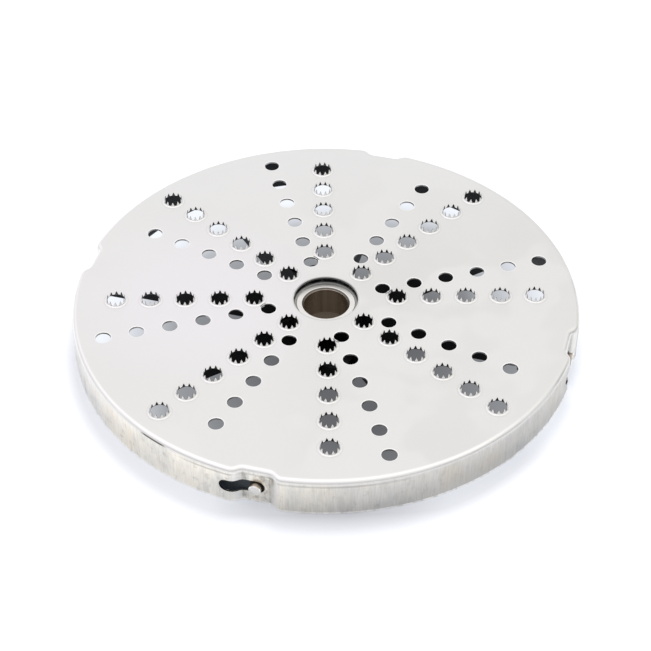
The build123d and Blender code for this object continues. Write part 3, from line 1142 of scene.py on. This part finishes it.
def table_glow(tree):
    """Glow of the open table, dimmed close to the rim, most in front where the shadow falls."""
    share = ramp(tree, between(tree, from_point(tree, CONTACT_CENTRE), *CONTACT_SPAN), CONTACT)
    share = maths(tree, "MAXIMUM", share, between(tree, across(tree), *CONTACT_ACROSS))
    share = maths(tree, "MAXIMUM", share, between(tree, along(tree, 0), *CONTACT_RIGHT))
    return blend(tree, share, PAPER_SHADE, PAPER_GLOW)


def paper_floor():
    """White paper: diffuse, plus a glow to camera, mirror and see-through rays, less under the pan."""
    material, tree = finish("white_paper")
    tree.nodes.clear()
    beneath = between(tree, from_axis(tree), *BENEATH_R)
    glow = blend(tree, beneath, table_glow(tree), under_pan_glow(tree))
    glow = add(tree, "ShaderNodeEmission", {0: glow}).outputs[0]
    paper = add(tree, "ShaderNodeBsdfDiffuse", {0: blend(tree, beneath, PAPER, PAPER_BENEATH)}).outputs[0]
    rays = add(tree, "ShaderNodeLightPath")
    seen = maths(tree, "MAXIMUM", rays.outputs["Is Camera Ray"], rays.outputs["Is Glossy Ray"])
    seen = maths(tree, "MAXIMUM", seen, rays.outputs["Is Transmission Ray"])
    unseen = add(tree, "ShaderNodeBsdfDiffuse", {0: PAPER_BOUNCE}).outputs[0]
    both = add(tree, "ShaderNodeAddShader", {0: paper, 1: glow}).outputs[0]
    mixed = add(tree, "ShaderNodeMixShader", {0: seen, 1: unseen, 2: both}).outputs[0]
    add(tree, "ShaderNodeOutputMaterial", {0: mixed})
    return material


floor_mesh = bpy.data.meshes.new("floor")
floor_corners = FLOOR_HALF * np.array([(-1, -1, 0), (1, -1, 0), (1, 1, 0), (-1, 1, 0)])
floor_mesh.from_pydata(floor_corners.tolist(), [], [(0, 1, 2, 3)])
floor_mesh.materials.append(paper_floor())
floor = bpy.data.objects.new("floor", floor_mesh)
bpy.context.scene.collection.objects.link(floor)
print("floor is", 2 * FLOOR_HALF, "m wide")

# %% [markdown]
# ## Light
# The photograph was taken in soft light from above, in a room that gets darker towards the camera and
# to both sides. Polished metal mirrors its room, so the light is a sky with a level by direction, and a
# lamp above the back, left out of reflections, adds the soft shadow in front. Lamps alone would leave
# the metal black in parts.

# %% Light
SKY_PEAK = 1.4
SKY = (
    (0.0, 0.56), (0.23, 0.705), (0.35, 0.77), (0.43, 0.83), (0.5, 0.84), (0.58, 0.83),
    (0.68, 0.74), (0.8, 0.59), (0.9, 0.56), (1.0, 0.25),
)
SKY_SPAN, SKY_TINTS = (-0.35, 0.35), ((1.0, 0.985, 1.0), (0.94, 0.935, 0.92))
SKY_SIDES = 0.55, 0.95, 1.0, 0.74
KEY_PLACE, KEY_SIZE, KEY_POWER = Vector((0.07, 0.60, 0.95)), 0.4, 5.5


def studio_sky():
    """Light by direction: a level by the angle from back over top to front, times tints by side."""
    world = bpy.data.worlds.new("studio")
    world.use_nodes = True
    tree = world.node_tree
    heading = add(tree, "ShaderNodeSeparateXYZ", {0: add(tree, "ShaderNodeTexCoord").outputs["Generated"]})
    x, y, z = (heading.outputs[axis] for axis in "XYZ")
    level = ramp(tree, between(tree, maths(tree, "ARCTAN2", z, y), 0.0, np.pi), SKY)
    colour = tint(tree, level, blend(tree, between(tree, x, *SKY_SPAN), *SKY_TINTS))
    sides = between(tree, maths(tree, "ABSOLUTE", x), *SKY_SIDES)
    background = tree.nodes["Background"]
    tree.links.new(tint(tree, colour, sides), background.inputs[0])
    background.inputs[1].default_value = SKY_PEAK
    return world


lamp = bpy.data.lights.new("key", "AREA")
lamp.size = KEY_SIZE
lamp.energy = KEY_POWER
key = bpy.data.objects.new("key", lamp)
key.location = KEY_PLACE
key.rotation_euler = (-KEY_PLACE).to_track_quat("-Z", "Y").to_euler()
key.visible_glossy = False
bpy.context.scene.collection.objects.link(key)
bpy.context.scene.world = studio_sky()
bpy.context.scene.view_settings.view_transform = "Standard"
print("sky peak", SKY_PEAK)
